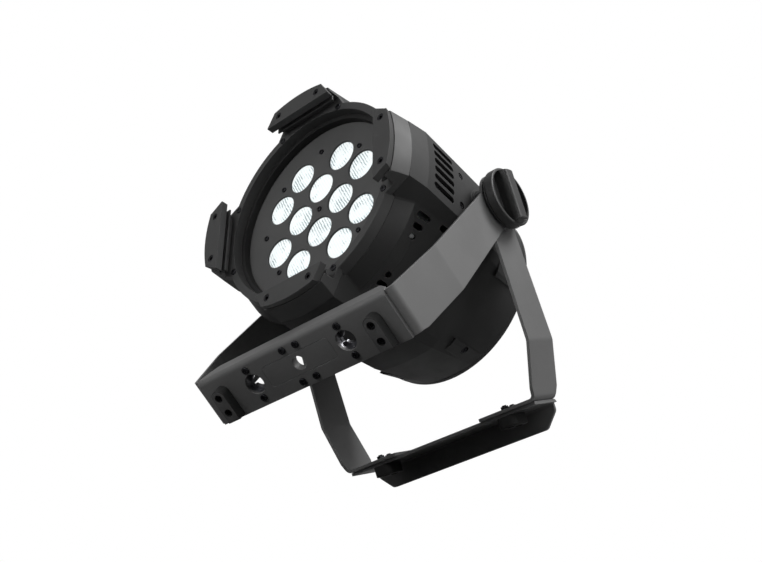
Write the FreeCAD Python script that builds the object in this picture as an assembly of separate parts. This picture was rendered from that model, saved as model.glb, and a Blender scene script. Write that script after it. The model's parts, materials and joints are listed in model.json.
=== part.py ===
import FreeCAD, Part
import math
import os

# Par can light on two floor brackets, in millimetres.
# Every piece is first built in the can's own frame: X along the tilt axis, light leaving along -Y,
# Z up, and the tilt axis through the origin.  Bracket pieces are built hanging straight down and are
# then swung to their stance.  At the end everything is leaned and lifted so that the feet meet Z = 0.

V = FreeCAD.Vector

# stance
FRONT_SWING = 34.4          # front bracket, forward of straight down
REAR_SWING = 26.6           # rear bracket, behind straight down

# can, along Y
HOLDER_Y = -137.4           # outer face of the four accessory holders
PLATE_T = 7.0               # thickness of a holder's clamp plate
RING_Y = -118.8             # front face of the bezel
SEAM_Y = -112.0             # joint between bezel and can on the four sides
CREASE_Y = -108.0           # the same joint on the four diagonals
SWELL_Y = -90.0             # widest station of the can
LED_Y = -101.4              # front of the lens plate
REAR_Y = 84.0               # back edge of the can
COVER_Y = 90.0              # back of the rear cover
WALL = 3.0

# light engine
PITCH = 36.0                # lens grid, turned 45 degrees to the tilt axis
LENS_R = 15.4
SCREW_RING = 69.3           # ring of eight lens plate screws
LENS_PLATE_R = 99.6
HOLDER_SCREW = (106.2, 24.8)
HOLDER_ANGLES = (0, 90, 180, 270)

# brackets: outer face across X, first bend, foot flange, widths along the swing
SHEET = 3.0
FRONT_X, FRONT_BEND, FRONT_FOOT_X, FRONT_L = 130.9, 140.6, 115.0, 209.6
REAR_X, REAR_BEND, REAR_FOOT_X, REAR_L = 125.6, 131.7, 111.0, 186.0
PLATE_HALF = 108.4
LIP_HALF = 105.5            # rear plate's folded lip
FRONT_W = (-23.1, 21.8)
REAR_W = (-20.0, 20.0)
PAD_H = 10.0
REAR_BOLTS = (-13.0, 0.5)     # rear pad bolts, across the bracket
LATCH_X = 53.0              # quarter-turn receptacles, 106 apart
LATCH_R = 9.5
SPIGOT_R = 6.5              # clearance hole for an M12 clamp bolt

# tilt axis hardware
STUD_R = 5.0
BOSS_X = 122.2
KNOB_X = 132.6              # inner face of the knob
KNOB_R = 28.8
KNOB_FACE = 143.5
KNOB_TOP = 150.2

PARTS = {}


def box(x0, x1, y0, y1, z0, z1):
    return Part.makeBox(x1 - x0, y1 - y0, z1 - z0, V(x0, y0, z0))


def rod(r, p, axis, h):
    return Part.makeCylinder(r, h, V(*p), V(*axis))


def prism(points, direction):
    pts = [V(*p) for p in points]
    return Part.Face(Part.makePolygon(pts + [pts[0]])).extrude(V(*direction))


def fuse(shapes):
    shapes = list(shapes)
    return shapes[0].multiFuse(shapes[1:]).removeSplitter() if len(shapes) > 1 else shapes[0]


def group(shapes):
    return Part.makeCompound(list(shapes))


def turned(shape, angle, axis=(0, 1, 0)):
    s = shape.copy()
    s.rotate(V(0, 0, 0), V(*axis), angle)
    return s


def moved(shape, x, y, z):
    s = shape.copy()
    s.translate(V(x, y, z))
    return s


def mirrored(shape):
    return shape.mirror(V(0, 0, 0), V(1, 0, 0))


def stadium(x0, x1, y0, y1, z0, z1):
    """Slot-shaped block, long side along Y, flat faces across X."""
    r = (z1 - z0) / 2
    zc = (z0 + z1) / 2
    return fuse([box(x0, x1, y0 + r, y1 - r, z0, z1)]
                + [rod(r, (x0, y, zc), (1, 0, 0), x1 - x0) for y in (y0 + r, y1 - r)])


def section(y, corner, half, axis_mid, panel, panel_half, diag_mid):
    """Closed outline round Y: four bowed sides, each with a short facet to the diagonal panels."""
    edges = []
    for k in range(4):
        a = math.radians(90 * k)
        c, s = math.cos(a), math.sin(a)

        def at(x, z):
            return V(x * c - z * s, y, x * s + z * c)

        q = math.sqrt(0.5)
        low, high = at(corner, -half), at(corner, half)
        first = at((panel + panel_half) * q, (panel - panel_half) * q)
        last = at((panel - panel_half) * q, (panel + panel_half) * q)
        edges.append(Part.Arc(low, at(axis_mid, 0), high).toShape())
        edges.append(Part.makeLine(high, first))
        edges.append(Part.Arc(first, at(diag_mid * q, diag_mid * q), last).toShape())
        edges.append(Part.makeLine(last, at(half, corner)))
    return Part.Wire(edges)


def skin(stations):
    return Part.makeLoft([section(*s) for s in stations], True, True)


def turning(profile):
    """Solid of revolution about Y from (radius, y) points."""
    pts = [V(r, y, 0) for r, y in profile]
    return Part.Face(Part.makePolygon(pts + [pts[0]])).revolve(V(0, 0, 0), V(0, 1, 0), 360)


def lens_centres():
    half = PITCH / 2
    out = []
    for i in (-3, -1, 1, 3):
        for j in (-3, -1, 1, 3):
            if abs(i) == 3 and abs(j) == 3:
                continue
            u, v = i * half, j * half
            out.append(((u - v) / math.sqrt(2), (u + v) / math.sqrt(2)))
    return out


def plate_screw_points():
    pts = [(0.0, 0.0)]
    for k in range(8):
        a = math.radians(45 * k)
        pts.append((SCREW_RING * math.cos(a), SCREW_RING * math.sin(a)))
    return pts


def cross_cut(p, axis, r, depth):
    """Cross recess of a screw head at p, cut along axis."""
    bars = [box(-r, r, -r * 0.22, r * 0.22, 0, depth), box(-r * 0.22, r * 0.22, -r, r, 0, depth)]
    b = fuse(bars)
    b.Placement = FreeCAD.Placement(V(*p), FreeCAD.Rotation(V(0, 0, 1), V(*axis)))
    return b


def hexagon(p, axis, across, depth):
    r = across / math.sqrt(3)
    pts = [(r * math.cos(math.radians(60 * k)), r * math.sin(math.radians(60 * k)), 0) for k in range(6)]
    h = prism(pts, (0, 0, depth))
    h.Placement = FreeCAD.Placement(V(*p), FreeCAD.Rotation(V(0, 0, 1), V(*axis)))
    return h


def pan_screw(p, inward, head_r, head_h, shank_r, shank_l):
    """Cross-head screw whose head sits on p; inward points down the shank."""
    i = V(*inward)
    o = V(0, 0, 0) - i
    pos = V(*p)
    head = Part.makeCylinder(head_r, head_h, pos, o)
    edge = [e for e in head.Edges if (e.CenterOfMass - pos).dot(o) > head_h * 0.9 and len(e.Vertexes) == 1]
    head = head.makeFillet(head_h * 0.45, edge)
    shank = Part.makeCylinder(shank_r, shank_l, pos, i)
    top = pos + o * head_h
    return head.fuse(shank).cut(cross_cut(tuple(top), tuple(i), head_r * 0.62, head_h * 0.6))


def cap_screw(p, inward, head_r, head_h, shank_r, shank_l):
    """Socket-head screw whose head's outer face is at p."""
    i = V(*inward)
    pos = V(*p)
    head = Part.makeCylinder(head_r, head_h, pos, i)
    shank = Part.makeCylinder(shank_r, shank_l, pos, i)
    return head.fuse(shank).cut(hexagon(p, inward, head_r, head_h * 0.6))


# ---------------------------------------------------------------- can

OUTER = [(SEAM_Y, 117.0, 31.0, 120.2, 97.5, 39.0, 97.8), (SWELL_Y, 118.4, 32.0, 121.4, 103.0, 46.0, 103.3),
         (20.0, 106.5, 31.0, 109.2, 99.4, 44.0, 99.7), (REAR_Y, 94.0, 27.0, 97.2, 90.4, 37.0, 97.8)]
RAISED = [(20.0, 106.5, 31.0, 109.2, 103.5, 40.0, 105.0), (REAR_Y, 94.0, 27.0, 97.2, 90.4, 37.0, 97.8)]


def shrink(station, t):
    y, corner, half, axis_mid, panel, panel_half, diag_mid = station
    return (y, corner - t, half - t * 0.4, axis_mid - t, panel - t, panel_half - t * 0.3, diag_mid - t)


def collar():
    """Round shoulder that shows between the four sides."""
    return turning([(101.9, CREASE_Y + 0.1), (105.7, CREASE_Y + 0.1), (112.0, SWELL_Y), (102.6, -69.0),
                    (96.0, -69.0), (99.0, -88.0), (101.9, -98.0)])


def corner_tabs():
    """Raised pads at the back corners of the diagonal panels."""
    tabs = [turned(box(80, 120, 36, REAR_Y, s * 41 - 7, s * 41 + 7), 45 + 90 * k) for k in range(4) for s in (-1, 1)]
    return Part.makeCompound(tabs).common(skin(RAISED))


def diagonal_slots():
    out = []
    for k in range(4):
        for s in (-1, 1):
            for along, length in ((39.5, 17), (29.5, 12.5), (19.5, 8)):
                slot = stadium(85, 112, -73 - length / 2, -73 + length / 2, s * along - 2.7, s * along + 2.7)
                out.append(turned(slot, 45 + 90 * k))
            out.append(turned(stadium(85, 112, -51, -40, s * 41 - 2.7, s * 41 + 2.7), 45 + 90 * k))
    return out


def side_slots():
    out = []
    for side in (-1, 1):
        for k in range(6):
            z = (k - 2.5) * 8.9 + 1.2
            x0, x1 = (100, 130) if side > 0 else (-130, -100)
            out.append(stadium(x0, x1, -80.5, -49, z - 2.9, z + 2.9))
    return out


TAB_SEAT = 92.8             # floor of the corner screws' pockets


def can_body():
    shell = fuse([skin(OUTER), collar(), corner_tabs()])
    shell = shell.cut(skin([shrink(s, WALL) for s in OUTER]))
    shell = shell.cut(rod(101.9, (0, SEAM_Y - 1, 0), (0, 1, 0), 15)).cut(rod(100.0, (0, -99, 0), (0, 1, 0), 14))
    shell = shell.cut(rod(106.0, (0, SEAM_Y - 1, 0), (0, 1, 0), CREASE_Y - SEAM_Y + 1))
    for side in (-1, 1):
        boss = rod(17, (side * 103, 0, 0), (side, 0, 0), BOSS_X - 103)
        apron = Part.makeCone(24, 19, 8, V(side * 107, 0, 0), V(side, 0, 0))
        shell = shell.fuse(boss.fuse(apron))
        shell = shell.cut(rod(8.0, (side * 95, 0, 0), (side, 0, 0), 40))
    cutters = side_slots() + diagonal_slots() + [rod(1.7, p, d, 20) for p, d in side_screw_points()]
    for k in range(4):
        for s in (-1, 1):
            cutters.append(turned(rod(1.7, (80, 58, s * 39), (1, 0, 0), 20), 45 + 90 * k))
            cutters.append(turned(rod(3.9, (TAB_SEAT, 58, s * 39), (1, 0, 0), 12), 45 + 90 * k))
    cutters += [rod(3.6, (side * 111.6, -36, z), (side, 0, 0), 12) for side in (-1, 1) for z in (-17, 17)]
    return shell.cut(Part.makeCompound(cutters))


def side_screw_points():
    return [((side * 95.0, -36.0, z), (side, 0, 0)) for side in (-1, 1) for z in (-17, 17)]


def side_screws():
    return group(pan_screw((side * 111.7, -36, z), (-side, 0, 0), 3.2, 2.0, 1.5, 12)
                 for side in (-1, 1) for z in (-17, 17))


def tab_screws():
    one = [pan_screw((TAB_SEAT + 0.1, 58, s * 39), (-1, 0, 0), 3.4, 1.8, 1.5, 8) for s in (-1, 1)]
    return group(turned(s, 45 + 90 * k) for k in range(4) for s in one)


def pivot_insert(side):
    """Flanged threaded insert that takes the knob's stud."""
    body = rod(7.9, (side * 95, 0, 0), (side, 0, 0), BOSS_X - 95 - 0.4)
    flange = rod(12, (side * 93.0, 0, 0), (side, 0, 0), 3)
    return body.fuse(flange).cut(rod(STUD_R + 0.05, (side * 90, 0, 0), (side, 0, 0), 40))


def holder_block(a):
    """Block on one side of the bezel that carries a holder plate, with a shallow ledge inside."""
    top = HOLDER_Y + PLATE_T
    back = [(90, SEAM_Y - 0.2, -42.5), (95, SEAM_Y - 0.2, -42.5), (117.2, SEAM_Y - 0.2, -31),
            (122, SEAM_Y - 0.2, -28), (122, SEAM_Y - 0.2, 28), (117.2, SEAM_Y - 0.2, 31),
            (95, SEAM_Y - 0.2, 42.5), (90, SEAM_Y - 0.2, 42.5)]
    body = prism(back, (0, top - SEAM_Y + 0.2, 0))
    round_side = Part.makeCone(120.6, 116.6, SEAM_Y - top, V(0, SEAM_Y - 0.2, 0), V(0, -1, 0))
    body = body.common(round_side)
    body = body.cut(box(80, 102.6, top - 1, RING_Y, -60, 60))
    body = body.cut(box(80, 130, top - 1, RING_Y, -60, -31.6)).cut(box(80, 130, top - 1, RING_Y, 31.6, 60))
    toes = [prism([(105.0, RING_Y, s * 30), (105.0, RING_Y, s * 37.3), (117.1, RING_Y, s * 31)],
                  (0, top - RING_Y, 0)).common(round_side) for s in (-1, 1)]
    ledge = box(98.0, 103.0, top + 4.0, top + 5.5, -36, 36)
    return turned(fuse([body, ledge] + toes), -a)


def front_bezel():
    ring = turning([(96.5, RING_Y), (103.6, RING_Y), (104.2, RING_Y + 0.6), (105.6, CREASE_Y - 0.2),
                    (101.6, CREASE_Y - 0.2), (101.6, -99.4), (100.4, -99.4), (100.4, -101.7), (92.5, -101.7),
                    (92.5, -109.0), (96.5, -109.0)])
    ring = fuse([ring] + [holder_block(a) for a in HOLDER_ANGLES])
    ring = ring.cut(rod(96.5, (0, -122, 0), (0, 1, 0), 13)).cut(rod(92.5, (0, -122, 0), (0, 1, 0), 25))
    r, s = HOLDER_SCREW
    holes = [turned(rod(1.7, (r, HOLDER_Y + PLATE_T - 1, z), (0, 1, 0), 14), -a)
             for a in HOLDER_ANGLES for z in (-s, s)]
    holes += [rod(1.7, (x, RING_Y - 1, z), (0, 1, 0), 10) for x, z in bezel_screw_points()]
    return ring.cut(Part.makeCompound(holes))


def bezel_screw_points():
    out = []
    for a in HOLDER_ANGLES:
        for s in (-36.7, 36.7):
            c, n = math.cos(math.radians(a)), math.sin(math.radians(a))
            out.append((93.2 * c - s * n, 93.2 * n + s * c))
    return out


def bezel_screws():
    return group(pan_screw((x, RING_Y, z), (0, 1, 0), 3.2, 1.2, 1.5, 6) for x, z in bezel_screw_points())


def holder_plate(angle):
    y1 = HOLDER_Y + PLATE_T
    outline = prism([(97.5, HOLDER_Y, -39.5), (98.4, HOLDER_Y, -39.5), (112.0, HOLDER_Y, -31.4),
                     (118, HOLDER_Y, -31.4), (118, HOLDER_Y, 31.4), (112.0, HOLDER_Y, 31.4),
                     (98.4, HOLDER_Y, 39.5), (97.5, HOLDER_Y, 39.5)], (0, PLATE_T, 0))
    plate = outline.common(Part.makeCone(117.2, 115.8, PLATE_T, V(0, HOLDER_Y, 0), V(0, 1, 0)))
    r, s = HOLDER_SCREW
    for z in (-s, s):
        plate = plate.cut(rod(3.6, (r, HOLDER_Y, z), (0, 1, 0), 4.0))
        plate = plate.cut(rod(2.2, (r, HOLDER_Y, z), (0, 1, 0), PLATE_T))
    return turned(plate, -angle)


def holder_screws():
    r, s = HOLDER_SCREW
    return group(turned(cap_screw((r, HOLDER_Y + 0.4, z), (0, 1, 0), 3.4, 3.6, 1.65, 14), -a)
                 for a in HOLDER_ANGLES for z in (-s, s))


def lens_plate():
    plate = rod(LENS_PLATE_R, (0, LED_Y, 0), (0, 1, 0), 2.0)
    holes = [rod(LENS_R + 0.3, (x, LED_Y - 1, z), (0, 1, 0), 4) for x, z in lens_centres()]
    holes += [rod(1.7, (x, LED_Y - 1, z), (0, 1, 0), 4) for x, z in plate_screw_points()]
    return plate.cut(Part.makeCompound(holes))


def plate_screws():
    return group(pan_screw((x, LED_Y, z), (0, 1, 0), 2.6, 1.5, 1.45, 9) for x, z in plate_screw_points())


def standoffs():
    return group(rod(3.5, (x, LED_Y + 2.0, z), (0, 1, 0), 17.4).cut(rod(1.5, (x, LED_Y, z), (0, 1, 0), 12))
                 for x, z in plate_screw_points())


def lens():
    """Solid collimator: flat ribbed front, cone to a small cup over the emitter."""
    f = LED_Y
    pts = [V(0, f + 0.6, 0), V(LENS_R - 1.2, f + 0.6, 0), V(LENS_R - 1.2, f, 0), V(LENS_R, f, 0),
           V(LENS_R, f + 2.4, 0), V(12.6, f + 6, 0), V(7.0, f + 16.2, 0), V(4.6, f + 17.4, 0),
           V(3.6, f + 17.4, 0), V(3.2, f + 14.4, 0), V(0, f + 13.8, 0)]
    return Part.Face(Part.makePolygon(pts + [pts[0]])).revolve(V(0, 0, 0), V(0, 1, 0), 360)


def lenses():
    one = lens()
    return group(moved(one, x, 0, z) for x, z in lens_centres())


def led_board():
    board = rod(94, (0, -82.0, 0), (0, 1, 0), 2.0)
    return board


def led_chips():
    return group(fuse([box(x - 2.8, x + 2.8, -83.2, -82.0, z - 2.8, z + 2.8), rod(2.0, (x, -83.9, z), (0, 1, 0), 0.9)])
                 for x, z in lens_centres())


def heat_sink():
    base = rod(96, (0, -80.0, 0), (0, 1, 0), 9)
    fins = [box(x - 1.3, x + 1.3, -71.5, -20, -90, 90) for x in [k * 9.5 for k in range(-9, 10)]]
    limit = rod(92, (0, -71.5, 0), (0, 1, 0), 51.5)
    hub = box(-96, 96, -71.5, -60, -5, 5).common(rod(96, (0, -80, 0), (0, 1, 0), 40))
    return fuse([base, hub] + [f.common(limit) for f in fins])


def side_strap(side):
    """Steel strap from heat sink to pivot insert that takes the side screws."""
    strap = box(96.2, 99.2, -78, 18, -26, 26) if side > 0 else box(-99.2, -96.2, -78, 18, -26, 26)
    strap = strap.cut(rod(8.3, (side * 90, 0, 0), (side, 0, 0), 20))
    return strap


def power_supply():
    board = box(-62, 62, -12, 44, -46, -44.2)
    can = [box(-50, -18, -4, 34, -44.2, -14), rod(9, (2, 6, -44.2), (0, 0, 1), 26),
           rod(9, (2, 28, -44.2), (0, 0, 1), 26), box(18, 30, -8, 40, -44.2, -20),
           box(36, 56, -6, 12, -44.2, -26), box(36, 56, 18, 36, -44.2, -30)]
    return fuse([board] + can)


def control_board():
    board = box(-52, 52, 70.0, 71.6, 6, 66)
    chips = [box(-12, 12, 67.4, 70.0, 44, 60), box(22, 40, 67.8, 70.0, 36, 48), box(-42, -30, 64, 70, 12, 30)]
    switches = [box(x - 3, x + 3, 71.6, 76.0, BUTTON_Z - 3, BUTTON_Z + 3) for x in BUTTON_X]
    switches += [rod(1.7, (x, 76.0, BUTTON_Z), (0, 1, 0), 7.2) for x in BUTTON_X]
    return fuse([board] + chips + switches)


# ---------------------------------------------------------------- rear cover

SOCKETS = {"data_in": (-34.0, -14.0), "data_out": (34.0, -14.0), "power_in": (-34.0, -54.0),
           "power_out": (34.0, -54.0)}
BUTTON_X = (-33.0, -11.0, 11.0, 33.0)
BUTTON_Z = 20.0
DISPLAY = (29.0, 10.0, 47.0)      # half width, half height, centre height


def rear_cover():
    cover = turning([(0, COVER_Y), (95.6, COVER_Y), (96.9, COVER_Y - 1.0), (97.6, REAR_Y + 0.3),
                     (93.9, REAR_Y + 0.3), (93.9, REAR_Y - 6), (91.2, REAR_Y - 6), (91.2, COVER_Y - WALL),
                     (0, COVER_Y - WALL)])
    notches = []
    for k in range(4):
        for s in (-1, 1):
            notches.append(turned(box(80, 100, REAR_Y - 8, REAR_Y + 0.2, s * 39 - 6, s * 39 + 6), 45 + 90 * k))
    cover = cover.cut(Part.makeCompound(notches))
    for x, z in SOCKETS.values():
        cover = cover.cut(rod(11.8, (x, COVER_Y - 8, z), (0, 1, 0), 12))
    for x in BUTTON_X:
        cover = cover.cut(rod(5.1, (x, COVER_Y - 8, BUTTON_Z), (0, 1, 0), 12))
    w, h, zc = DISPLAY
    cover = cover.cut(box(-w, w, COVER_Y - 8, COVER_Y + 1, zc - h, zc + h))
    cover = cover.cut(rod(6.1, (0, COVER_Y - 8, -54), (0, 1, 0), 12))
    return cover.cut(rod(3.2, (0, COVER_Y - 8, 76), (0, 1, 0), 12))


def display_window():
    w, h, zc = DISPLAY
    glass = box(-w + 0.1, w - 0.1, COVER_Y - WALL, COVER_Y - 0.6, zc - h + 0.1, zc + h - 0.1)
    return glass.fuse(box(-w - 3, w + 3, COVER_Y - WALL - 1.5, COVER_Y - WALL, zc - h - 3, zc + h + 3))


def menu_button(x):
    cap = rod(4.8, (x, COVER_Y - WALL - 1.4, BUTTON_Z), (0, 1, 0), WALL + 4.0)
    edge = [e for e in cap.Edges if abs(e.CenterOfMass.y - (COVER_Y + 2.6)) < 0.01 and len(e.Vertexes) == 1]
    cap = cap.makeFillet(0.8, edge)
    return cap.fuse(rod(6.6, (x, COVER_Y - WALL - 2.0, BUTTON_Z), (0, 1, 0), 1.6))


def socket_shell(x, z, depth):
    flange = box(x - 13, x + 13, COVER_Y, COVER_Y + 1.8, z - 15.5, z + 15.5)
    upright = [e for e in flange.Edges if abs(e.tangentAt(e.FirstParameter).y) > 0.9]
    flange = flange.makeFillet(3.0, upright)
    nose = rod(11.6, (x, COVER_Y - depth, z), (0, 1, 0), depth + 3.2)
    body = flange.fuse(nose)
    for s in (-1, 1):
        body = body.cut(rod(1.6, (x + s * 9.5, COVER_Y - 1, z + s * 12.0), (0, 1, 0), 4))
    return body


def data_inlet():
    x, z = SOCKETS["data_in"]
    body = socket_shell(x, z, 20).cut(rod(9.2, (x, COVER_Y - 13, z), (0, 1, 0), 20))
    pins = [rod(1.2, (x + 5.4 * math.cos(math.radians(a)), COVER_Y - 13, z + 5.4 * math.sin(math.radians(a))),
                (0, 1, 0), 12) for a in (40, 140, 270)]
    return fuse([body] + pins)


def data_outlet():
    x, z = SOCKETS["data_out"]
    body = socket_shell(x, z, 20).cut(rod(9.8, (x, COVER_Y - 3, z), (0, 1, 0), 9))
    core = rod(8.6, (x, COVER_Y - 13, z), (0, 1, 0), 14)
    holes = [rod(1.3, (x + 5.4 * math.cos(math.radians(a)), COVER_Y - 9, z + 5.4 * math.sin(math.radians(a))),
                 (0, 1, 0), 12) for a in (40, 140, 270)]
    return body.fuse(core).cut(Part.makeCompound(holes))


def power_socket(name, key):
    x, z = SOCKETS[name]
    body = socket_shell(x, z, 24)
    ring = rod(9.4, (x, COVER_Y - 16, z), (0, 1, 0), 22).cut(rod(5.6, (x, COVER_Y - 16, z), (0, 1, 0), 17.5))
    z0, z1 = sorted((z + key * 3.0, z + key * 11))
    body = body.cut(ring.cut(box(x - 1.6, x + 1.6, COVER_Y - 20, COVER_Y + 5, z0, z1)))
    slots = [box(x - 3.2, x - 2.0, COVER_Y - 12, COVER_Y + 4, z - 2, z + 2),
             box(x + 2.0, x + 3.2, COVER_Y - 12, COVER_Y + 4, z - 2, z + 2)]
    return body.cut(Part.makeCompound(slots))


def socket_screws():
    out = []
    for x, z in SOCKETS.values():
        for s in (-1, 1):
            out.append(pan_screw((x + s * 9.5, COVER_Y + 1.8, z + s * 12.0), (0, -1, 0), 2.7, 1.5, 1.5, 1.7))
    return group(out)


def fuse_holder():
    cap = rod(7.5, (0, COVER_Y, -54), (0, 1, 0), 6)
    body = rod(6.0, (0, COVER_Y - 28, -54), (0, 1, 0), 30)
    return cap.fuse(body).cut(box(-5, 5, COVER_Y + 4.6, COVER_Y + 7, -54.8, -53.2))


def safety_eye():
    """Closed steel loop for a safety wire, bolted through the rear cover."""
    ring = Part.makeTorus(9.0, 2.6, V(0, COVER_Y + 12.6, 76), V(1, 0, 0))
    foot = rod(6.0, (0, COVER_Y, 76), (0, 1, 0), 3.6)
    shank = rod(3.1, (0, COVER_Y - 11, 76), (0, 1, 0), 14)
    return fuse([ring, foot, shank])


def safety_nut():
    nut = hexagon((0, COVER_Y - WALL - 5.0, 76), (0, 1, 0), 10.0, 5.0)
    return nut.cut(rod(3.1, (0, COVER_Y - WALL - 6, 76), (0, 1, 0), 8))


# ---------------------------------------------------------------- brackets

def sheet_arm(x_out, bend, foot_x, foot_l, flange_end):
    """Bent strip seen along Y: straight leg, inward slope, foot flange."""
    t = SHEET
    run = foot_l - bend
    slope = (x_out - foot_x) / run
    ln = math.hypot(1, slope)
    shift = t * ln
    bend_in = bend - t * (ln - 1) / slope
    low = foot_l - t
    x_in_low = foot_x - shift + slope * t
    pts = [(x_out, 0, 30), (x_out, 0, -bend), (foot_x, 0, -foot_l), (flange_end, 0, -foot_l),
           (flange_end, 0, -low), (x_in_low, 0, -low), (x_out - t, 0, -bend_in), (x_out - t, 0, 30)]
    strip = prism([(x, -40, z) for x, y, z in pts], (0, 80, 0))

    def near(e, x, z):
        c = e.CenterOfMass
        return abs(c.x - x) < 0.2 and abs(c.z - z) < 0.2

    for x, z, r in ((foot_x, -foot_l, 7.0), (x_in_low, -low, 4.0), (x_out, -bend, 14.0),
                    (x_out - t, -bend_in, 11.0)):
        edges = [e for e in strip.Edges if near(e, x, z)]
        strip = strip.makeFillet(r, edges)
    return strip


def planform(eye_r, stations):
    """Outline of an arm seen along X: round eye at the tilt axis, sides through the stations."""
    left = [(0, w0, -length) for length, w0, w1 in stations]
    right = [(0, w1, -length) for length, w0, w1 in stations]
    body = prism([(p[0] + 50, p[1], p[2]) for p in left + right[::-1]], (100, 0, 0))
    return body.fuse(rod(eye_r, (50, 0, 0), (1, 0, 0), 100))


def front_arm():
    strip = sheet_arm(FRONT_X, FRONT_BEND, FRONT_FOOT_X, FRONT_L - SHEET, 73.0)
    plan = planform(27.0, [(0, -19.0, 19.0), (FRONT_BEND, -22.1, 22.1), (FRONT_L - 14, -22.8, 22.8),
                           (FRONT_L - 8, -22.8, 21.5), (FRONT_L + 1, -22.8, 21.5)])
    arm = strip.common(plan)
    arm = arm.cut(box(50, PLATE_HALF + 0.8, -30, -17.9, -FRONT_L, -180))
    arm = arm.cut(rod(STUD_R + 0.35, (50, 0, 0), (1, 0, 0), 100))
    return arm.cut(Part.makeCompound([rod(2.3, (88, w, -FRONT_L - 5), (0, 0, 1), 15) for w in (-4.4, 10.7)]))


def rear_arm():
    strip = sheet_arm(REAR_X, REAR_BEND, REAR_FOOT_X, REAR_L - SHEET, 40.0)
    plan = planform(19.0, [(0, -19.0, 19.0), (REAR_BEND, -23.8, 19.4), (REAR_L - 14, -25.2, 19.8),
                           (REAR_L - 6, -22.8, 16.6), (REAR_L + 1, -22.8, 16.6)])
    arm = strip.common(plan)
    arm = arm.cut(rod(STUD_R + 0.35, (50, 0, 0), (1, 0, 0), 100))
    return arm.cut(Part.makeCompound([rod(2.3, (74, w, -REAR_L - 5), (0, 0, 1), 15) for w in REAR_BOLTS]))


def angle_plate(length, w0, w1, lip_w, lip_half, lip_from, lip_to):
    """Flat foot plate with one long edge folded into a lip with cut corners."""
    flat = box(-PLATE_HALF, PLATE_HALF, w0, w1, -length, -length + SHEET)
    fold, far = -lip_from, -lip_to
    cut = 14.0
    s = 1 if far > fold else -1
    outline = [(-lip_half, lip_w, fold), (lip_half, lip_w, fold), (lip_half, lip_w, far - s * cut),
               (lip_half - cut, lip_w, far), (-lip_half + cut, lip_w, far), (-lip_half, lip_w, far - s * cut)]
    lip = prism(outline, (0, SHEET, 0))
    lip = lip.makeFillet(6.0, [e for e in lip.Edges if abs(e.tangentAt(e.FirstParameter).y) > 0.9
                               and abs(e.CenterOfMass.z - fold) > 1.0])
    return flat.fuse(lip).removeSplitter()


def fold_edges(shape, w, z, r):
    edges = [e for e in shape.Edges if abs(e.CenterOfMass.y - w) < 0.05 and abs(e.CenterOfMass.z - z) < 0.05]
    return shape.makeFillet(r, edges)


def front_plate():
    w0, w1 = FRONT_W
    plate = angle_plate(FRONT_L, w0, w1, w0, PLATE_HALF, FRONT_L, 187.0)
    plate = fold_edges(plate, w0, -FRONT_L, 5.0)
    plate = fold_edges(plate, w0 + SHEET, -FRONT_L + SHEET, 2.0)
    holes = [rod(LATCH_R, (s * LATCH_X, 0, -FRONT_L - 1), (0, 0, 1), 5) for s in (-1, 1)]
    holes += [rod(2.2, (s * LATCH_X, w, -FRONT_L - 1), (0, 0, 1), 5) for s in (-1, 1) for w in (-14.2, 14.2)]
    holes += [rod(2.2, (x, w, -FRONT_L - 1), (0, 0, 1), 5) for x in (-7.7, 7.7) for w in (-16, 16)]
    holes += [rod(2.3, (s * 88, w, -FRONT_L - 1), (0, 0, 1), 5) for s in (-1, 1) for w in (-4.4, 10.7)]
    window = box(-38, 38, -10, 10, -FRONT_L - 1, -FRONT_L + 5)
    upright = [e for e in window.Edges if abs(e.tangentAt(e.FirstParameter).z) > 0.9]
    holes.append(window.makeFillet(3.5, upright))
    return plate.cut(Part.makeCompound(holes))


def spigot_block():
    """Threadless clamp block: fills the plate's window and carries the clamp bolt hole."""
    back = box(-44, 44, -17.9, 20, -FRONT_L + SHEET, -FRONT_L + SHEET + 5)
    nose = box(-37.8, 37.8, -9.8, 9.8, -FRONT_L, -FRONT_L + SHEET)
    upright = [e for e in nose.Edges if abs(e.tangentAt(e.FirstParameter).z) > 0.9]
    block = back.fuse(nose.makeFillet(3.3, upright))
    cuts = [rod(SPIGOT_R, (0, 0, -FRONT_L - 1), (0, 0, 1), 12)]
    cuts += [rod(1.7, (x, w, -FRONT_L), (0, 0, 1), 12) for x in (-7.7, 7.7) for w in (-16, 16)]
    for s in (-1, 1):
        cuts.append(rod(14.4, (s * LATCH_X, 0, -FRONT_L + SHEET - 1), (0, 0, 1), 8))
        cuts += [rod(5.2, (s * LATCH_X, w, -FRONT_L + SHEET - 1), (0, 0, 1), 8) for w in (-14.2, 14.2)]
    return block.cut(Part.makeCompound(cuts))


def latch_receptacle(side):
    """Quarter-turn receptacle: flange on the plate's back, cup with a cam slot."""
    z0 = -FRONT_L + SHEET
    cup = rod(13.8, (side * LATCH_X, 0, z0), (0, 0, 1), 8)
    ears = box(side * LATCH_X - 5, side * LATCH_X + 5, -17.9, 17.9, z0, z0 + 2.5)
    body = cup.fuse(ears)
    hollow = rod(LATCH_R, (side * LATCH_X, 0, z0 - 1), (0, 0, 1), 5.5)
    slot = rod(6.0, (side * LATCH_X, 0, z0), (0, 0, 1), 12)
    cams = box(side * LATCH_X - 9, side * LATCH_X + 9, -2.4, 2.4, z0, z0 + 12)
    body = body.cut(hollow).cut(slot).cut(cams)
    return body.cut(Part.makeCompound([rod(1.7, (side * LATCH_X, w, z0 - 1), (0, 0, 1), 6) for w in (-14.2, 14.2)]))


def plate_screw_set():
    spots = [(s * LATCH_X, w, 5.0) for s in (-1, 1) for w in (-14.2, 14.2)]
    spots += [(x, w, 7.0) for x in (-7.7, 7.7) for w in (-16, 16)]
    return group(pan_screw((x, w, -FRONT_L), (0, 0, 1), 3.4, 1.7, 1.5, ln) for x, w, ln in spots)


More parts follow.
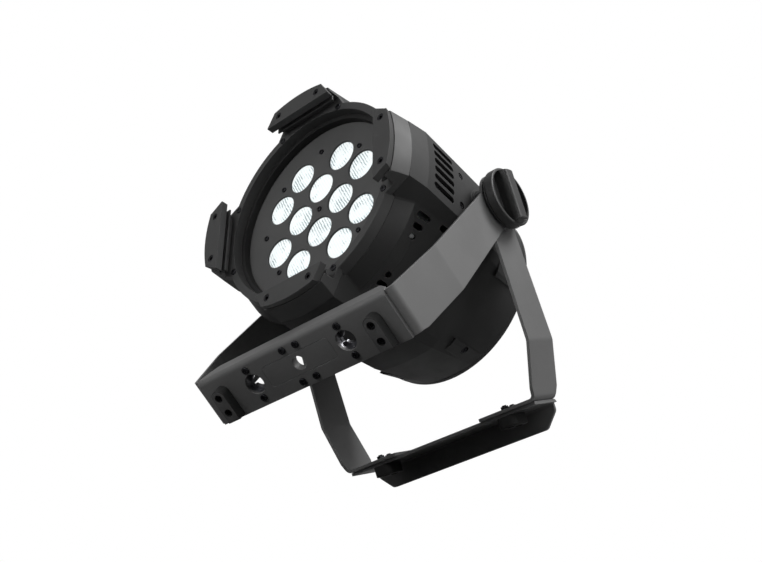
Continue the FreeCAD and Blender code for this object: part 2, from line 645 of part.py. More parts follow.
def front_pad(side):
    x = side * 88.0
    z1 = -FRONT_L
    z0 = z1 - PAD_H
    pad = box(x - 7, x + 7, -5, 20, z0, z1).fuse(rod(7, (x, -5, z0), (0, 0, 1), PAD_H))
    pad = pad.removeSplitter()
    rim = [e for e in pad.Edges if abs(e.CenterOfMass.z - z0) < 0.01]
    pad = pad.makeFillet(1.0, rim)
    for w in (-4.4, 10.7):
        pad = pad.cut(rod(3.7, (x, w, z0 - 1), (0, 0, 1), 7.0)).cut(rod(2.3, (x, w, z0 - 1), (0, 0, 1), 15))
    return pad


def rear_pad(side):
    x = side * 74.0
    z1 = -REAR_L
    z0 = z1 - PAD_H
    pad = box(x - 10, x + 10, -20, 6.5, z0, z1)
    upright = [e for e in pad.Edges if abs(e.tangentAt(e.FirstParameter).z) > 0.9]
    pad = pad.makeFillet(7.0, upright)
    rim = [e for e in pad.Edges if abs(e.CenterOfMass.z - z0) < 0.01]
    pad = pad.makeFillet(1.0, rim)
    for w in REAR_BOLTS:
        pad = pad.cut(rod(3.7, (x, w, z0 - 1), (0, 0, 1), 7.0)).cut(rod(2.3, (x, w, z0 - 1), (0, 0, 1), 15))
    return pad


def pad_bolts(x, ws, length):
    """Cap screws up through the pads, each with a nut on the flange."""
    out = []
    grip = PAD_H - 6.0 + 2 * SHEET
    for s in (-1, 1):
        for w in ws:
            z0 = -length - PAD_H + 2.0
            out.append(cap_screw((s * x, w, z0), (0, 0, 1), 3.5, 4.0, 2.1, 4.0 + grip + 4.2))
            nut = hexagon((s * x, w, -length + 2 * SHEET), (0, 0, 1), 7.0, 3.2)
            out.append(nut.cut(rod(2.1, (s * x, w, -length), (0, 0, 1), 20)))
    return group(out)


def rear_plate():
    w1 = REAR_W[1]
    plate = angle_plate(REAR_L, REAR_W[0], w1, w1 - SHEET, LIP_HALF, REAR_L - SHEET, 207.0)
    plate = fold_edges(plate, w1, -REAR_L + SHEET, 4.0)
    plate = fold_edges(plate, w1 - SHEET, -REAR_L, 2.0)
    return plate.cut(Part.makeCompound([rod(2.3, (s * 74, w, -REAR_L - 1), (0, 0, 1), 5)
                                        for s in (-1, 1) for w in REAR_BOLTS]))


# ---------------------------------------------------------------- tilt clamps

def friction_disc(side):
    """Spacer between the two eyes on one side."""
    disc = rod(16, (side * 125.9, 0, 0), (side, 0, 0), 1.7)
    return disc.cut(rod(STUD_R + 0.35, (side * 120, 0, 0), (side, 0, 0), 12))


def thrust_washer(side):
    disc = rod(21, (side * 131.2, 0, 0), (side, 0, 0), 1.1)
    return disc.cut(rod(STUD_R + 0.06, (side * 125, 0, 0), (side, 0, 0), 12))


def knob(side):
    s = side
    flange = rod(27.6, (s * KNOB_X, 0, 0), (s, 0, 0), 1.6)
    neck = rod(26.0, (s * (KNOB_X + 1.6), 0, 0), (s, 0, 0), 1.0)
    drum = rod(KNOB_R, (s * (KNOB_X + 2.6), 0, 0), (s, 0, 0), KNOB_FACE - KNOB_X - 2.6)
    outer_edge = [e for e in drum.Edges if abs(e.CenterOfMass.x - s * KNOB_FACE) < 0.01 and len(e.Vertexes) == 1]
    drum = drum.makeFillet(1.2, outer_edge)
    bowl = rod(KNOB_R - 2.5, (s * (KNOB_FACE - 7.0), 0, 0), (s, 0, 0), 12)
    x0, x1 = sorted((s * (KNOB_FACE - 9.0), s * KNOB_TOP))
    wing = box(x0, x1, -30, 30, -6.5, 6.5)
    limit = Part.makeCone(KNOB_R - 0.4, KNOB_R - 3.9, KNOB_TOP - KNOB_FACE + 9.0, V(s * (KNOB_FACE - 9.0), 0, 0),
                          V(s, 0, 0))
    wing = wing.common(limit)
    crest = [e for e in wing.Edges if abs(e.CenterOfMass.x - s * KNOB_TOP) < 0.01]
    wing = wing.makeFillet(2.2, crest)
    head = fuse([flange, neck, drum.cut(bowl), wing])
    head.rotate(V(0, 0, 0), V(1, 0, 0), -66.0)
    return head


def knob_stud(side):
    return rod(STUD_R, (side * 99.0, 0, 0), (side, 0, 0), KNOB_X - 99.0)


# ---------------------------------------------------------------- assembly

def add_can():
    PARTS["can_body"] = can_body()
    PARTS["side_screws"] = side_screws()
    PARTS["tab_screws"] = tab_screws()
    PARTS["front_bezel"] = front_bezel()
    PARTS["bezel_screws"] = bezel_screws()
    for name, a in (("right", 0), ("top", 90), ("left", 180), ("bottom", 270)):
        PARTS["holder_plate_" + name] = holder_plate(a)
    PARTS["holder_screws"] = holder_screws()
    PARTS["lens_plate"] = lens_plate()
    PARTS["lens_plate_screws"] = plate_screws()
    PARTS["standoffs"] = standoffs()
    PARTS["lenses"] = lenses()
    PARTS["led_board"] = led_board()
    PARTS["led_chips"] = led_chips()
    PARTS["heat_sink"] = heat_sink()
    PARTS["power_supply"] = power_supply()
    PARTS["control_board"] = control_board()
    PARTS["rear_cover"] = rear_cover()
    PARTS["display_window"] = display_window()
    for k, x in enumerate(BUTTON_X):
        PARTS["menu_button_%d" % (k + 1)] = menu_button(x)
    PARTS["data_inlet"] = data_inlet()
    PARTS["data_outlet"] = data_outlet()
    PARTS["power_inlet"] = power_socket("power_in", 1)
    PARTS["power_outlet"] = power_socket("power_out", -1)
    PARTS["socket_screws"] = socket_screws()
    PARTS["fuse_holder"] = fuse_holder()
    PARTS["safety_eye"] = safety_eye()
    PARTS["safety_eye_nut"] = safety_nut()
    PARTS["side_straps"] = group(side_strap(s) for s in (-1, 1))
    for name, s in (("right", 1), ("left", -1)):
        PARTS["pivot_insert_" + name] = pivot_insert(s)


def add_front_bracket():
    arm = front_arm()
    pieces = {"front_arm_right": arm, "front_arm_left": mirrored(arm), "front_plate": front_plate(),
              "spigot_block": spigot_block(), "front_plate_screws": plate_screw_set(),
              "front_pad_bolts": pad_bolts(88.0, (-4.4, 10.7), FRONT_L),
              "friction_discs": group(friction_disc(s) for s in (-1, 1))}
    for name, s in (("right", 1), ("left", -1)):
        pieces["latch_receptacle_" + name] = latch_receptacle(s)
        pieces["front_pad_" + name] = front_pad(s)
    for name, shape in pieces.items():
        PARTS[name] = turned(shape, -FRONT_SWING, (1, 0, 0))


def add_rear_bracket():
    arm = rear_arm()
    pieces = {"rear_arm_right": arm, "rear_arm_left": mirrored(arm), "rear_plate": rear_plate(),
              "rear_pad_right": rear_pad(1), "rear_pad_left": rear_pad(-1),
              "rear_pad_bolts": pad_bolts(74.0, REAR_BOLTS, REAR_L)}
    for name, shape in pieces.items():
        PARTS[name] = turned(shape, REAR_SWING, (1, 0, 0))


def add_clamps():
    for name, s in (("right", 1), ("left", -1)):
        PARTS["thrust_washer_" + name] = thrust_washer(s)
        PARTS["knob_" + name] = knob(s)
        PARTS["knob_stud_" + name] = knob_stud(s)


def stance():
    """Lean and lift that put both pairs of feet on Z = 0, with the outline's middle over the origin."""
    feet = [PARTS["front_pad_right"], PARTS["rear_pad_right"]]
    lean = 0.0
    for _ in range(6):
        low = []
        for foot in feet:
            f = turned(foot, lean, (1, 0, 0))
            b = f.optimalBoundingBox()
            zs = [v.Point for v in f.Vertexes if v.Point.z < b.ZMin + 0.8]
            low.append((sum(p.y for p in zs) / len(zs), b.ZMin))
        (y0, z0), (y1, z1) = low
        lean -= math.degrees(math.atan2(z1 - z0, y1 - y0))
    return lean


def main():
    add_can()
    add_front_bracket()
    add_rear_bracket()
    add_clamps()
    lean = stance()
    shapes = {n: turned(s, lean, (1, 0, 0)) for n, s in PARTS.items()}
    whole = Part.makeCompound(list(shapes.values())).optimalBoundingBox()
    lift = V(0, -(whole.YMin + whole.YMax) / 2, -whole.ZMin)
    os.makedirs("parts", exist_ok=True)
    for name, shape in shapes.items():
        shape.translate(lift)
        shape.exportStep("parts/%s.step" % name)
    print("lean %.4f lift %.3f %.3f nodes %d" % (lean, lift.y, lift.z, len(shapes)))


main()
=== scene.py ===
import json
import math

import bpy
import bmesh
from mathutils import Matrix, Vector


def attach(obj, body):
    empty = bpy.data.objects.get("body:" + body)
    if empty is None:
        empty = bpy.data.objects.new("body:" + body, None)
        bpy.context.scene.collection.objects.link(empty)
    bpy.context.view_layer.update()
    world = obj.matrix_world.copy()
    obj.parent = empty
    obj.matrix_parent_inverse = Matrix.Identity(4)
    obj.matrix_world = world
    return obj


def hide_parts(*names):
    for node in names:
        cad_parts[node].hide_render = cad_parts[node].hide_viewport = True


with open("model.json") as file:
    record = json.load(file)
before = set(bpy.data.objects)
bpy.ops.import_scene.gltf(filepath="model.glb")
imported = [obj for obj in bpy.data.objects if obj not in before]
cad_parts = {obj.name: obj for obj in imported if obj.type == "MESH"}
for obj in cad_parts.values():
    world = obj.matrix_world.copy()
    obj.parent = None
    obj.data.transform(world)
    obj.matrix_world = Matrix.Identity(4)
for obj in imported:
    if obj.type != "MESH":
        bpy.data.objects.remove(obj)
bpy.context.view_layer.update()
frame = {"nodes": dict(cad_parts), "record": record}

NODES = frame["nodes"]
RECORD = frame["record"]

# ---------------------------------------------------------------- camera, stage, light

CAMERA_AT = (0.61551, -0.73228, -0.46710)
CAMERA_RIGHT = (0.750310, 0.660405, -0.030001)
CAMERA_UP = (0.378917, -0.392428, 0.838107)
LENS_MM = 56.565
MIDDLE = (0, 0, 0.18)                 # where most lights aim
FLOOR_HALF = 6.0
FLOOR_GAP = 0.0006                    # keeps the feet clear of the floor's face


def make_camera():
    right, up = Vector(CAMERA_RIGHT), Vector(CAMERA_UP)
    back = right.cross(up)
    cam = bpy.data.objects.new("camera", bpy.data.cameras.new("camera"))
    cam.data.lens = LENS_MM
    cam.data.sensor_width = 36.0
    cam.data.clip_start, cam.data.clip_end = 0.01, 50.0
    turn = Matrix((right, up, back)).transposed().to_4x4()
    cam.matrix_world = Matrix.Translation(CAMERA_AT) @ turn
    bpy.context.scene.collection.objects.link(cam)
    bpy.context.scene.camera = cam


def make_light(name, at, aim, size, power):
    data = bpy.data.lights.new(name, "AREA")
    data.shape, data.size = "DISK", size
    data.energy = power
    lamp = bpy.data.objects.new(name, data)
    lamp.location = at
    lamp.rotation_mode = "QUATERNION"
    lamp.rotation_quaternion = (Vector(aim) - Vector(at)).to_track_quat("-Z", "Y")
    lamp.visible_camera = False
    bpy.context.scene.collection.objects.link(lamp)


class Tree:
    """Short-hand for building a node tree."""

    def __init__(self, tree):
        self.tree = tree
        tree.nodes.clear()

    def add(self, kind, inputs=None, **settings):
        node = self.tree.nodes.new(kind)
        for key, value in settings.items():
            setattr(node, key, value)
        for key, value in (inputs or {}).items():
            if isinstance(value, bpy.types.NodeSocket):
                self.tree.links.new(value, node.inputs[key])
            else:
                node.inputs[key].default_value = value
        return node

    def ramp(self, fac, stops):
        node = self.tree.nodes.new("ShaderNodeValToRGB")
        self.tree.links.new(fac, node.inputs[0])
        elements = node.color_ramp.elements
        elements.remove(elements[1])
        for k, (at, value) in enumerate(stops):
            element = elements.new(at) if k else elements[0]
            element.position = at
            colour = value if isinstance(value, tuple) else (value, value, value)
            element.color = (*colour, 1.0)
        return node.outputs[0]

    def math(self, operation, a, b, clamp=False):
        return self.add("ShaderNodeMath", {0: a, 1: b}, operation=operation, use_clamp=clamp).outputs[0]

    def mix(self, fac, a, b):
        return self.add("ShaderNodeMix", {0: fac, 6: a, 7: b}, data_type="RGBA").outputs[2]

    def noise(self, vector, scale, detail=3.0, rough=0.55):
        node = self.add("ShaderNodeTexNoise", {"Vector": vector, "Scale": scale, "Detail": detail,
                                               "Roughness": rough})
        return node.outputs["Fac"]


def make_world():
    """White to the camera; to the object a dim sky, brighter overhead."""
    world = bpy.data.worlds.new("studio")
    world.use_nodes = True
    t = Tree(world.node_tree)
    direction = t.add("ShaderNodeTexCoord").outputs["Generated"]
    height = t.add("ShaderNodeSeparateXYZ", {0: direction}).outputs[2]
    height = t.math("ADD", t.math("MULTIPLY", height, 0.5), 0.5)
    sky = t.ramp(height, [(0.0, 0.04), (0.40, 0.07), (0.58, 0.26), (1.0, 0.55)])
    seen = t.add("ShaderNodeLightPath").outputs["Is Camera Ray"]
    tone = t.mix(seen, sky, (1.0, 1.0, 1.0, 1.0))
    back = t.add("ShaderNodeBackground", {"Color": tone, "Strength": 1.0})
    t.add("ShaderNodeOutputWorld", {0: back.outputs[0]})
    bpy.context.scene.world = world


def make_stage():
    """Pale floor under the feet; its underside lets light and sight through."""
    mesh = bpy.data.meshes.new("floor")
    w = FLOOR_HALF
    mesh.from_pydata([(-w, -w, 0), (w, -w, 0), (w, w, 0), (-w, w, 0)], [], [(0, 1, 2, 3)])
    floor = bpy.data.objects.new("floor", mesh)
    floor.location.z = -FLOOR_GAP
    bpy.context.scene.collection.objects.link(floor)
    mat = bpy.data.materials.new("floor")
    mat.use_nodes = True
    t = Tree(mat.node_tree)
    under = t.add("ShaderNodeNewGeometry").outputs["Backfacing"]
    seen = t.add("ShaderNodeLightPath").outputs["Is Camera Ray"]
    tone = t.mix(seen, (0.20, 0.20, 0.20, 1.0), (0.60, 0.60, 0.61, 1.0))
    glow = t.mix(seen, (0.0, 0.0, 0.0, 1.0), (0.42, 0.42, 0.425, 1.0))
    paint = t.add("ShaderNodeBsdfPrincipled", {"Base Color": tone, "Roughness": 0.6, "Emission Color": glow,
                                               "Emission Strength": 1.0})
    clear = t.add("ShaderNodeBsdfTransparent")
    both = t.add("ShaderNodeMixShader", {0: under, 1: paint.outputs[0], 2: clear.outputs[0]})
    t.add("ShaderNodeOutputMaterial", {0: both.outputs[0]})
    mesh.materials.append(mat)


# ---------------------------------------------------------------- finishes

CAN_LEAN = math.radians(-2.6472)      # the can stands a little nose up
CAN_AXIS = Vector((0.0, 0.012556, 0.186920))
CAN_FRONT = Vector((0.0, -math.cos(CAN_LEAN), -math.sin(CAN_LEAN)))
CAN_UP = Vector((0.0, -math.sin(CAN_LEAN), math.cos(CAN_LEAN)))
CAN_RIGHT = Vector((1.0, 0.0, 0.0))
MOUTH_R = 0.0962                      # edge of the bezel's recess


def inside_mouth(t, where):
    """White within the round recess of the bezel, black outside it; the mask of the painted shade in the
    recess.
    """
    off = t.add("ShaderNodeVectorMath", {0: where, 1: CAN_AXIS}, operation="SUBTRACT").outputs[0]
    across = t.add("ShaderNodeSeparateXYZ", {0: off}).outputs[0]
    rise = t.add("ShaderNodeVectorMath", {0: off, 1: CAN_UP}, operation="DOT_PRODUCT").outputs["Value"]
    flat = t.add("ShaderNodeCombineXYZ", {0: across, 1: rise}).outputs[0]
    reach = t.add("ShaderNodeVectorMath", {0: flat}, operation="LENGTH").outputs["Value"]
    past = t.math("MULTIPLY", t.math("SUBTRACT", reach, MOUTH_R), 1000.0)
    return t.ramp(past, [(0.0, 1.0), (0.5, 0.0)])


def new_material(name):
    """Material, its tree, and the coordinates its patterns run on."""
    mat = bpy.data.materials.new(name)
    mat.use_nodes = True
    t = Tree(mat.node_tree)
    where = t.add("ShaderNodeTexCoord").outputs["Object"]
    return mat, t, where


def edge_mask(t, radius, where, breakup):
    """White along sharp edges, broken up by noise, black on flats."""
    soft = t.add("ShaderNodeBevel", {"Radius": radius}, samples=4).outputs[0]
    flat = t.add("ShaderNodeNewGeometry").outputs["True Normal"]
    dot = t.add("ShaderNodeVectorMath", {0: soft, 1: flat}, operation="DOT_PRODUCT").outputs["Value"]
    edge = t.ramp(t.math("SUBTRACT", 1.0, dot), [(0.035, 0.0), (0.16, 1.0)])
    patches = t.ramp(t.noise(where, breakup, 4.0, 0.7), [(0.42, 0.0), (0.62, 1.0)])
    return t.math("MULTIPLY", edge, patches)


def finish_surface(t, colour, rough, height, strength, distance, metallic=0.0, specular=0.5, coat=0.0,
                   edge=0.0007):
    """Principled surface with rounded-edge normals and fine relief."""
    rounded = t.add("ShaderNodeBevel", {"Radius": edge}, samples=4).outputs[0]
    bump = t.add("ShaderNodeBump", {"Strength": strength, "Distance": distance, "Height": height,
                                    "Normal": rounded}).outputs[0]
    shader = t.add("ShaderNodeBsdfPrincipled", {"Base Color": colour, "Roughness": rough, "Metallic": metallic,
                                                "Specular IOR Level": specular, "Coat Weight": coat,
                                                "Normal": bump})
    t.add("ShaderNodeOutputMaterial", {0: shader.outputs[0]})
    return shader


def powder_coat(name, tone, rough, grain=1500.0, relief=0.22, wear=0.5, specular=0.5, painted_mouth_shade=False):
    """Baked-on paint: fine orange-peel grain, faint handling marks, paler worn edges; optionally painted shade
    darkening the bezel's recess.
    """
    mat, t, where = new_material(name)

    def shade(k):
        return (tone * k, tone * k, tone * k)

    cloud = t.noise(where, 9.0, 4.0, 0.6)
    speck = t.noise(where, 2600.0, 2.0)
    colour = t.ramp(cloud, [(0.30, shade(0.88)), (0.70, shade(1.12))])
    colour = t.mix(t.ramp(speck, [(0.62, 0.0), (0.74, 0.35)]), colour, (*shade(1.7), 1.0))
    scuff_at = t.add("ShaderNodeMapping", {"Vector": where, "Scale": (14.0, 160.0, 60.0),
                                           "Rotation": (0.4, 0.7, 0.3)}).outputs[0]
    scuffs = t.ramp(t.noise(scuff_at, 1.6, 5.0, 0.75), [(0.66, 0.0), (0.74, 1.0)])
    colour = t.mix(t.math("MULTIPLY", scuffs, 0.10), colour, (*shade(2.4), 1.0))
    worn = edge_mask(t, 0.0009, where, 55.0)
    colour = t.mix(t.math("MULTIPLY", worn, wear), colour, (*shade(3.2), 1.0))
    # painted shade: inside the bezel's recess the paint is darkened to 0.22 of its tone, standing in for the
    # shade that falls there
    if painted_mouth_shade:
        colour = t.mix(inside_mouth(t, where), colour, (*shade(0.22), 1.0))
    base = t.ramp(t.noise(where, 22.0, 3.0), [(0.3, rough[0]), (0.7, rough[1])])
    rough_out = t.math("SUBTRACT", base, t.math("MULTIPLY", scuffs, 0.08), clamp=True)
    broad = t.math("MULTIPLY", t.noise(where, grain * 0.22, 2.0), 0.7)
    peel = t.math("ADD", t.noise(where, grain, 2.0), broad)
    finish_surface(t, colour, rough_out, peel, relief, 0.00012, specular=specular)
    return mat


def scaled(tone, k):
    """Colour times k, held below white."""
    return tuple(min(1.0, k * c) for c in tone)


def moulded(name, tone, rough=(0.45, 0.62), grain=2200.0, relief=0.25, specular=0.45):
    """Moulded plastic: eroded-tool grain, dust in patches, soft polish on edges."""
    mat, t, where = new_material(name)
    cloud = t.noise(where, 30.0, 4.0, 0.6)
    colour = t.ramp(cloud, [(0.3, scaled(tone, 0.9)), (0.7, scaled(tone, 1.1))])
    dust = t.ramp(t.noise(where, 420.0, 3.0, 0.8), [(0.60, 0.0), (0.80, 0.5)])
    colour = t.mix(t.math("MULTIPLY", dust, 0.25), colour, (*scaled(tone, 1.9), 1.0))
    worn = edge_mask(t, 0.0007, where, 90.0)
    colour = t.mix(t.math("MULTIPLY", worn, 0.2), colour, (*scaled(tone, 2.2), 1.0))
    gloss = t.ramp(t.noise(where, 60.0, 3.0), [(0.3, rough[0]), (0.7, rough[1])])
    pits = t.add("ShaderNodeTexVoronoi", {"Vector": where, "Scale": grain}).outputs["Distance"]
    height = t.math("ADD", pits, t.noise(where, grain * 0.5, 2.0))
    finish_surface(t, colour, gloss, height, relief, 0.0001, specular=specular)
    return mat


def metal(name, tone, rough=(0.28, 0.42), stretch=(1.0, 14.0, 1.0), grain=240.0):
    """Bare or plated metal with drawn grain and a few duller stains."""
    mat, t, where = new_material(name)
    along = t.add("ShaderNodeMapping", {"Vector": where, "Scale": stretch}).outputs[0]
    lines = t.noise(along, grain, 4.0, 0.7)
    cloud = t.noise(where, 60.0, 4.0, 0.65)
    colour = t.ramp(lines, [(0.3, scaled(tone, 0.86)), (0.7, scaled(tone, 1.08))])
    colour = t.mix(t.math("MULTIPLY", t.ramp(cloud, [(0.5, 0.0), (0.75, 1.0)]), 0.25), colour,
                   (*scaled(tone, 0.55), 1.0))
    gloss = t.ramp(t.math("ADD", t.math("MULTIPLY", lines, 0.5), t.math("MULTIPLY", cloud, 0.5)),
                   [(0.35, rough[0]), (0.65, rough[1])])
    finish_surface(t, colour, gloss, lines, 0.15, 0.00006, metallic=1.0, edge=0.0004)
    return mat


def circuit_board(name, mask, trace, pad):
    """Solder mask with traces, vias and tinned pads."""
    mat, t, where = new_material(name)
    turned = t.add("ShaderNodeMapping", {"Vector": where, "Rotation": (math.pi / 2, 0.0, 0.0)}).outputs[0]
    lanes = t.add("ShaderNodeTexBrick", {"Vector": turned, "Scale": 95.0, "Mortar Size": 0.035,
                                         "Color1": (0, 0, 0, 1), "Color2": (0, 0, 0, 1),
                                         "Mortar": (1, 1, 1, 1)})
    dots = t.add("ShaderNodeTexVoronoi", {"Vector": where, "Scale": 150.0}).outputs["Distance"]
    vias = t.ramp(dots, [(0.10, 1.0), (0.14, 0.0)])
    colour = t.ramp(t.noise(where, 40.0), [(0.3, scaled(mask, 0.9)), (0.7, mask)])
    colour = t.mix(lanes.outputs["Color"], colour, (*trace, 1.0))
    colour = t.mix(vias, colour, (*pad, 1.0))
    height = t.math("ADD", t.math("MULTIPLY", lanes.outputs["Fac"], 0.6), vias)
    gloss = t.ramp(t.noise(where, 90.0), [(0.3, 0.30), (0.7, 0.42)])
    finish_surface(t, colour, gloss, height, 0.4, 0.00008)
    return mat


def lens_material(name):
    """Lit collimator: cool white with fluted and milky patches and a dark rim."""
    mat, t, where = new_material(name)
    reach = t.add("ShaderNodeAttribute", attribute_name="rim", attribute_type="GEOMETRY").outputs["Fac"]
    milk = t.noise(where, 260.0, 3.0, 0.7)
    streak_at = t.add("ShaderNodeMapping", {"Vector": where, "Rotation": (0.0, 0.45, 0.0)}).outputs[0]
    streak = t.add("ShaderNodeTexWave", {"Vector": streak_at, "Scale": 118.0, "Distortion": 2.2, "Detail": 2.0,
                                         "Detail Scale": 2.5}).outputs["Fac"]
    flutes = t.ramp(streak, [(0.10, (0.30, 0.38, 0.40)), (0.50, (0.92, 0.98, 0.99))])
    patch = t.ramp(t.noise(where, 75.0, 2.0), [(0.45, 0.10), (0.60, 1.0)])
    glow = t.mix(patch, (0.95, 1.0, 1.0, 1.0), flutes)
    glow = t.mix(t.ramp(milk, [(0.5, 0.0), (0.8, 0.5)]), glow, (0.78, 0.86, 0.88, 1.0))
    glow = t.mix(t.ramp(reach, [(0.93, 0.0), (0.965, 0.35), (0.985, 1.0)]), glow, (0.05, 0.06, 0.062, 1.0))
    body = t.mix(0.75, glow, (0.02, 0.02, 0.02, 1.0))
    rough = t.ramp(milk, [(0.3, 0.12), (0.7, 0.24)])
    bump = t.add("ShaderNodeBump", {"Strength": 0.15, "Distance": 0.0001, "Height": streak}).outputs[0]
    shader = t.add("ShaderNodeBsdfPrincipled", {"Base Color": body, "Roughness": rough, "Emission Color": glow,
                                                "Emission Strength": 0.85, "Coat Weight": 0.3, "Normal": bump})
    t.add("ShaderNodeOutputMaterial", {0: shader.outputs[0]})
    return mat


def pad_material(name, tone, painted_light_tone):
    """Black rubber, painted paler on its down-facing faces as painted light."""
    mat, t, where = new_material(name)
    facing = t.add("ShaderNodeTexCoord").outputs["Normal"]
    down = t.math("MULTIPLY", t.add("ShaderNodeSeparateXYZ", {0: facing}).outputs[2], -1.0)
    # painted light: faces turned downward get the paler tone, standing in for the light those faces catch
    painted_light_mask = t.ramp(down, [(0.66, 0.0), (0.76, 1.0)])
    cloud = t.noise(where, 60.0, 4.0, 0.65)
    dark = t.ramp(cloud, [(0.3, 0.8 * tone), (0.7, 1.2 * tone)])
    painted_light_colour = t.ramp(cloud, [(0.3, 0.8 * painted_light_tone), (0.7, 1.15 * painted_light_tone)])
    dust = t.ramp(t.noise(where, 500.0, 3.0, 0.8), [(0.60, 0.0), (0.80, 0.3)])
    colour = t.mix(dust, t.mix(painted_light_mask, dark, painted_light_colour), (2.2 * tone, 2.2 * tone, 2.1 * tone, 1.0))
    gloss = t.ramp(cloud, [(0.3, 0.62), (0.7, 0.80)])
    pits = t.add("ShaderNodeTexVoronoi", {"Vector": where, "Scale": 900.0}).outputs["Distance"]
    finish_surface(t, colour, gloss, pits, 0.3, 0.0001, specular=0.3)
    return mat


def chip_material(name):
    """Lit chip under a phosphor layer of fine cells."""
    mat, t, where = new_material(name)
    cells = t.add("ShaderNodeTexVoronoi", {"Vector": where, "Scale": 900.0}).outputs["Distance"]
    glow = t.ramp(cells, [(0.2, (1.0, 0.93, 0.72)), (0.6, (1.0, 0.85, 0.5))])
    rough = t.ramp(cells, [(0.2, 0.35), (0.6, 0.5)])
    shader = finish_surface(t, glow, rough, cells, 0.2, 0.00005)
    t.tree.links.new(glow, shader.inputs["Emission Color"])
    shader.inputs["Emission Strength"].default_value = 2.0
    return mat


def display_material(name):
    """Dark window with a faint sheen of fine pixels and finger smears."""
    mat, t, where = new_material(name)
    smear = t.ramp(t.noise(where, 70.0, 5.0, 0.7), [(0.45, 0.05), (0.75, 0.26)])
    colour = t.ramp(t.noise(where, 24.0), [(0.3, (0.004, 0.007, 0.011)), (0.7, (0.008, 0.013, 0.020))])
    fine = t.noise(where, 1200.0, 2.0)
    finish_surface(t, colour, smear, fine, 0.03, 0.00003, specular=0.6, coat=0.5)
    return mat


BLACK = (0.010, 0.010, 0.010)
CHARCOAL = (0.014, 0.014, 0.014)
GREY = (0.070, 0.070, 0.070)
FINISHES = {
    "can_paint": powder_coat("can_paint", 0.018, rough=(0.50, 0.64), specular=0.25),
    "bezel_paint": powder_coat("bezel_paint", 0.034, rough=(0.48, 0.62), specular=0.3, painted_mouth_shade=True),
    "plate_paint": powder_coat("plate_paint", 0.058, rough=(0.55, 0.7), relief=0.15, wear=0.2, specular=0.35),
    "bracket_paint": powder_coat("bracket_paint", 0.075, rough=(0.44, 0.56), grain=1700.0, relief=0.16),
    "black_screws": metal("black_screws", (0.030, 0.030, 0.033), rough=(0.34, 0.5), stretch=(1, 1, 1),
                          grain=700.0),
    "pad_rubber": pad_material("pad_rubber", 0.012, 0.055),
    "zinc_steel": metal("zinc_steel", (0.16, 0.16, 0.17)),
    "black_plastic": moulded("black_plastic", BLACK, specular=0.3),
    "knob_plastic": moulded("knob_plastic", CHARCOAL, rough=(0.42, 0.56), grain=1500.0, relief=0.3,
                            specular=0.4),
    "button_plastic": moulded("button_plastic", GREY, rough=(0.5, 0.65)),
    "lens_clear": lens_material("lens_clear"),
    "board_white": circuit_board("board_white", (0.72, 0.73, 0.70), (0.62, 0.63, 0.60), (0.50, 0.50, 0.48)),
    "led_glow": chip_material("led_glow"),
    "aluminium": metal("aluminium", (0.78, 0.79, 0.80), rough=(0.34, 0.5), stretch=(1.0, 1.0, 10.0)),
    "board_green": circuit_board("board_green", (0.015, 0.090, 0.035), (0.03, 0.14, 0.05), (0.55, 0.56, 0.55)),
    "display_glass": display_material("display_glass"),
    "power_in_blue": moulded("power_in_blue", (0.012, 0.060, 0.210), rough=(0.35, 0.5)),
    "power_out_grey": moulded("power_out_grey", (0.190, 0.195, 0.200), rough=(0.38, 0.52)),
    "brass": metal("brass", (0.72, 0.53, 0.26), rough=(0.25, 0.4)),
}


def dress_cad():
    """Give every CAD node its slot's finish."""
    for part in RECORD["subparts"]:
        obj = NODES[part["node"]]
        mat = FINISHES[part["material_slot"]]
        if not obj.material_slots:
            obj.data.materials.append(mat)
        for s in obj.material_slots:
            s.material = mat


# ---------------------------------------------------------------- new pieces

SHARP_ANGLE = math.radians(40)


def add_piece(name, bm, body, slot):
    mesh = bpy.data.meshes.new(name)
    bm.to_mesh(mesh)
    bm.free()
    mesh.shade_smooth()
    mesh.set_sharp_from_angle(angle=SHARP_ANGLE)
    obj = bpy.data.objects.new(name, mesh)
    bpy.context.scene.collection.objects.link(obj)
    mesh.materials.append(FINISHES[slot])
    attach(obj, body)
    return obj


def loose_parts(node):
    """Points of each separate solid in a CAD node."""
    bm = bmesh.new()
    bm.from_mesh(NODES[node].data)
    bmesh.ops.remove_doubles(bm, verts=bm.verts, dist=1e-6)
    bm.verts.index_update()
    seen, groups = set(), []
    for start in bm.verts:
        if start.index in seen:
            continue
        stack, found = [start], []
        seen.add(start.index)
        while stack:
            v = stack.pop()
            found.append(v.co.copy())
            for e in v.link_edges:
                other = e.other_vert(v)
                if other.index not in seen:
                    seen.add(other.index)
                    stack.append(other)
        groups.append(found)
    bm.free()
    return groups


RING_STEPS = 72
RINGS_WITHIN = 17                     # evenly spaced rings of the fluted area
CROWN = 0.0011                        # how far a lens bulges
FLUTE, FLUTE_PITCH = 0.00009, 0.00115
FLUTED = 0.88                         # share of the radius that is fluted
RIM_FROM, RIM_DROP = 0.95, 0.00035
SINK = 0.0002                         # front stands this far inside the plain lens
SIDE_GAP = 0.00005                    # and this far inside its side wall
MAX_DEPTH = 0.004
FIRST_TURN, NEXT_TURN = 0.35, 1.3     # direction of the flutes, from lens to lens


def ring_of(bm, centre, radius, lift):
    """Circle of points about a centre, with the lift given by a function of (u, v)."""
    points = []
    for k in range(RING_STEPS):
        a = 2 * math.pi * k / RING_STEPS
        u, v = radius * math.cos(a), radius * math.sin(a)
        points.append(bm.verts.new(centre + CAN_RIGHT * u + CAN_UP * v + CAN_FRONT * lift(u, v)))
    return points


def join_rings(bm, outer, inner):
    """Band of quads between two rings with the same number of points."""
    n = len(outer)
    for k in range(n):
        bm.faces.new((outer[k], outer[(k + 1) % n], inner[(k + 1) % n], inner[k]))


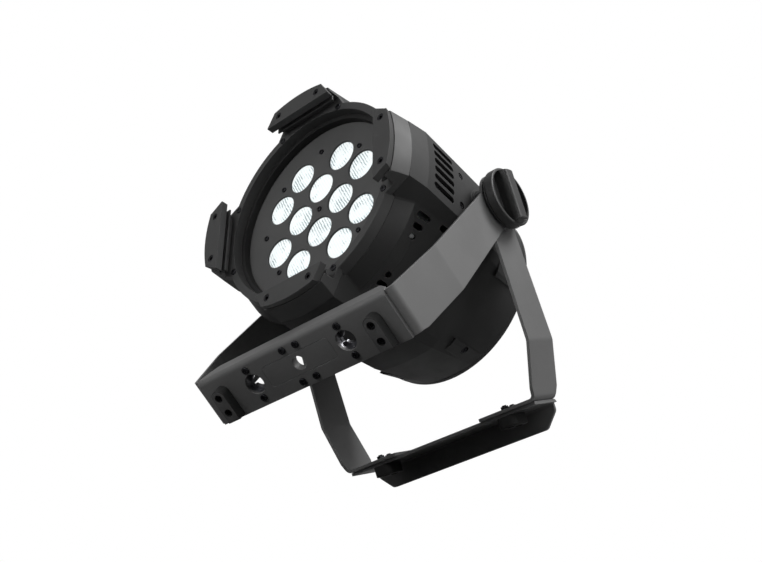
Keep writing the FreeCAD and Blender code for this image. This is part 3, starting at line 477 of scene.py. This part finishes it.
def lens_front(bm, centre, radius, depth, turn):
    """One collimator: crowned ribbed front inside a plain rim, straight wall, flat back."""
    def lift(u, v):
        r = min(1.0, math.hypot(u, v) / radius)
        along = u * math.cos(turn) + v * math.sin(turn)
        fade = max(0.0, min(1.0, (FLUTED - r) * 12.0))
        wave = FLUTE * fade * math.sin(2 * math.pi * along / FLUTE_PITCH)
        step = -RIM_DROP if r > RIM_FROM else 0.0
        return -CROWN * r * r + wave + step - SINK

    radii = [radius * f for f in (1.0, 0.985, 0.955, 0.94, 0.90)]
    radii += [radius * FLUTED * (1 - k / RINGS_WITHIN) for k in range(1, RINGS_WITHIN)]
    rings = [ring_of(bm, centre, r, lift) for r in radii]
    for a, b in zip(rings, rings[1:]):
        join_rings(bm, a, b)
    middle = bm.verts.new(centre + CAN_FRONT * lift(0.0, 0.0))
    for k in range(RING_STEPS):
        bm.faces.new((rings[-1][k], rings[-1][(k + 1) % RING_STEPS], middle))
    back = ring_of(bm, centre, radius * 0.985, lambda u, v: -depth)
    join_rings(bm, back, rings[0])
    bm.faces.new(list(reversed(back)))


def make_lenses():
    """Detailed fronts in place of the plain CAD lenses; "rim" is each point's share of its lens radius."""
    bm = bmesh.new()
    spots = []
    for n, points in enumerate(loose_parts("lenses")):
        mid = sum(points, Vector()) / len(points)
        side = [(p - mid).dot(CAN_RIGHT) for p in points]
        rise = [(p - mid).dot(CAN_UP) for p in points]
        out = [(p - mid).dot(CAN_FRONT) for p in points]
        centre = (mid + CAN_RIGHT * (max(side) + min(side)) / 2 + CAN_UP * (max(rise) + min(rise)) / 2
                  + CAN_FRONT * max(out))
        radius = (max(side) - min(side)) / 2
        spots.append((centre, radius))
        depth = min(MAX_DEPTH, max(out) - min(out))
        lens_front(bm, centre, radius - SIDE_GAP, depth, turn=FIRST_TURN + NEXT_TURN * (n % 3))
    bmesh.ops.recalc_face_normals(bm, faces=bm.faces)
    piece = add_piece("lens_fronts", bm, "can", "lens_clear")
    rim = piece.data.attributes.new("rim", "FLOAT", "POINT")
    for v in piece.data.vertices:
        near = min((v.co - c - CAN_FRONT * (v.co - c).dot(CAN_FRONT)).length / r for c, r in spots)
        rim.data[v.index].value = near
    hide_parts("lenses")


# ---------------------------------------------------------------- scene

make_camera()
make_world()
make_stage()
make_light("key", (1.45, 0.15, 1.50), MIDDLE, 1.1, 52)
make_light("side", (2.0, -0.45, 0.45), MIDDLE, 0.8, 13)
make_light("front", (-0.2, -1.95, 0.35), MIDDLE, 1.0, 20)
make_light("low", (0.75, -1.1, -1.1), (0, 0, 0.16), 0.9, 14)
make_light("back", (-0.9, 1.6, 1.2), MIDDLE, 1.0, 30)
bpy.context.scene.view_settings.view_transform = "Standard"

dress_cad()
make_lenses()
